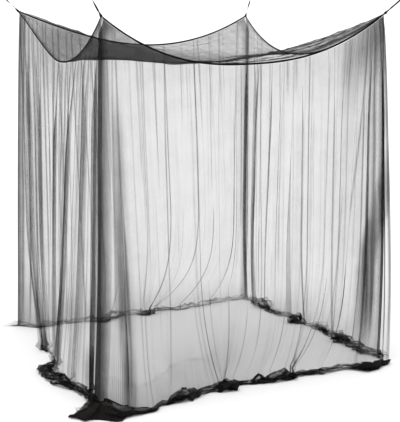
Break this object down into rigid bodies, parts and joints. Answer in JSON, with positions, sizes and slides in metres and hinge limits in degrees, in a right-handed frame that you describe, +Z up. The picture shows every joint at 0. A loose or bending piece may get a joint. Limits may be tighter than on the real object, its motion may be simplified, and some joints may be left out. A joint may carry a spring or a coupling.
{
  "type": "mosquito net canopy with ceiling hooks",
  "caption": "Box-shaped sheer net canopy hung by corner cords from ceiling hooks, its sagging roof and pleated walls pooling on the floor.",
  "frame": {"origin": "middle of the net's footprint, on the floor", "axes": "+Z up to the ceiling, +X along the front wall from the front left corner, +Y from the front wall to the back"},
  "size_m": [2.2294, 2.3922, 2.4198],
  "materials": {
    "net": "fine black polyester net, sheer, its alpha standing for the open mesh",
    "binding": "black woven tape, matt",
    "cord": "black flat ribbon cord, slightly satin",
    "zinc": "bright zinc plating"
  },
  "bodies": {
    "root": {"roof_net": "net", "wall_front": "net", "wall_right": "net", "wall_back": "net", "wall_left": "net", "binding_front": "binding", "binding_right": "binding", "binding_back": "binding", "binding_left": "binding", "corner_loop_front_left": "binding", "cord_front_left": "cord", "hook_front_left": "zinc", "ceiling_plate_front_left": "zinc", "corner_loop_front_right": "binding", "cord_front_right": "cord", "hook_front_right": "zinc", "ceiling_plate_front_right": "zinc", "corner_loop_back_right": "binding", "cord_back_right": "cord", "hook_back_right": "zinc", "ceiling_plate_back_right": "zinc", "corner_loop_back_left": "binding", "cord_back_left": "cord", "hook_back_left": "zinc", "ceiling_plate_back_left": "zinc"}
  },
  "joints": []
}
